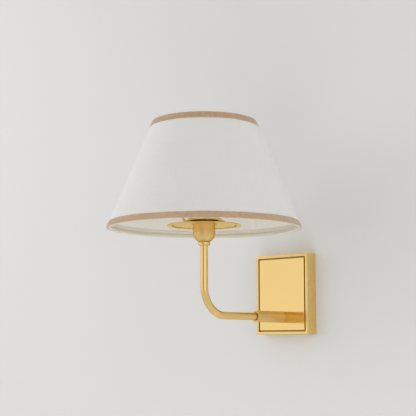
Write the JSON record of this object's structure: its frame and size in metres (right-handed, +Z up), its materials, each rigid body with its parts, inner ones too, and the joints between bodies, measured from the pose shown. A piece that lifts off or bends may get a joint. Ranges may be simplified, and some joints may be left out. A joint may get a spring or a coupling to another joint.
{
  "type": "fabric shade wall light",
  "caption": "Wall light: rectangular box plate, L-shaped tube arm, bell cup, glare disc and a cone shade of pale fabric with ribbon round its rims.",
  "frame": {"origin": "middle of the two box-screw slots, on the back of the mounting strap, in the plane of the wall", "axes": "+Y into the wall, square to it; +Z up; +X to the right for someone who faces the wall"},
  "size_m": [0.3344, 0.3922, 0.3643],
  "materials": {
    "satin_brass": "satin",
    "polished_brass": "polished",
    "zinc_steel": "zinc plated",
    "green_steel": "green, for earth",
    "phenolic": "moulded, near black",
    "nickel": "nickel plated",
    "copper": "bare drawn copper",
    "shade_cloth": "plain weave, pale grey-white",
    "lining_cloth": "smooth, cream",
    "ribbon": "ribbed ribbon, tan",
    "tape": "cotton tape, grey-beige",
    "frame_wire": "white enamel",
    "solder": "tinned",
    "black_glass": "black vitrite glass",
    "cap_metal": "rolled thread",
    "opal_glass": "frosted white",
    "wire_cap_plastic": "moulded",
    "wire_hot_insulation": "black insulation",
    "wire_neutral_insulation": "white insulation"
  },
  "bodies": {
    "fixture": {"mounting_bracket": "zinc_steel", "backplate": "satin_brass", "inset_panel": "polished_brass", "plate_screws": "satin_brass", "ground_screw": "green_steel", "arm_sleeve": "satin_brass", "sleeve_set_screw": "satin_brass", "sleeve_nipple": "zinc_steel", "sleeve_washer": "zinc_steel", "sleeve_locknut": "zinc_steel", "arm_tube": "satin_brass", "arm_collar": "satin_brass", "socket_cup": "satin_brass", "cup_nipple": "zinc_steel", "cup_locknut": "zinc_steel", "glare_disc": "satin_brass", "disc_washer": "satin_brass", "socket_base": "phenolic", "socket_body": "phenolic", "socket_shell": "nickel", "socket_contact": "nickel", "terminal_screws": "satin_brass", "wire_connectors": "wire_cap_plastic", "wire_hot": "wire_hot_insulation", "wire_neutral": "wire_neutral_insulation", "wire_ground": "copper"},
    "ring": {"retaining_ring": "satin_brass"},
    "shade": {"fitter_ring": "satin_brass", "shade_fabric": "shade_cloth", "shade_lining": "lining_cloth", "bottom_trim": "ribbon", "top_trim": "ribbon", "bottom_wire_ring": "frame_wire", "top_wire_ring": "frame_wire", "shade_arm_1": "frame_wire", "shade_arm_2": "frame_wire", "shade_arm_3": "frame_wire", "bottom_hem_tape": "tape", "top_hem_tape": "tape"},
    "lamp_slide": {"lamp_contact": "solder"},
    "lamp": {"lamp_insulator": "black_glass", "lamp_cap": "cap_metal", "lamp_glass": "opal_glass"}
  },
  "joints": [
    {"name": "ring_rise", "type": "slide", "parent": "fixture", "child": "ring", "axis": [0, 0, 1], "range_m": [0, 0.029]},
    {"name": "shade_turn", "type": "hinge", "parent": "ring", "child": "shade", "pos_m": [0, -0.225, 0.12], "axis": [0, 0, 1], "continuous": true},
    {"name": "lamp_rise", "type": "slide", "parent": "fixture", "child": "lamp_slide", "axis": [0, 0, 1], "range_m": [0, 0.0128]},
    {"name": "lamp_turn", "type": "hinge", "parent": "lamp_slide", "child": "lamp", "pos_m": [0, -0.225, 0.12], "axis": [0, 0, 1], "range_deg": [0, 1260]}
  ],
  "couplings": [
    {"joint": "lamp_rise", "follows": "lamp_turn", "m_per_rad": 0.00057757}
  ]
}
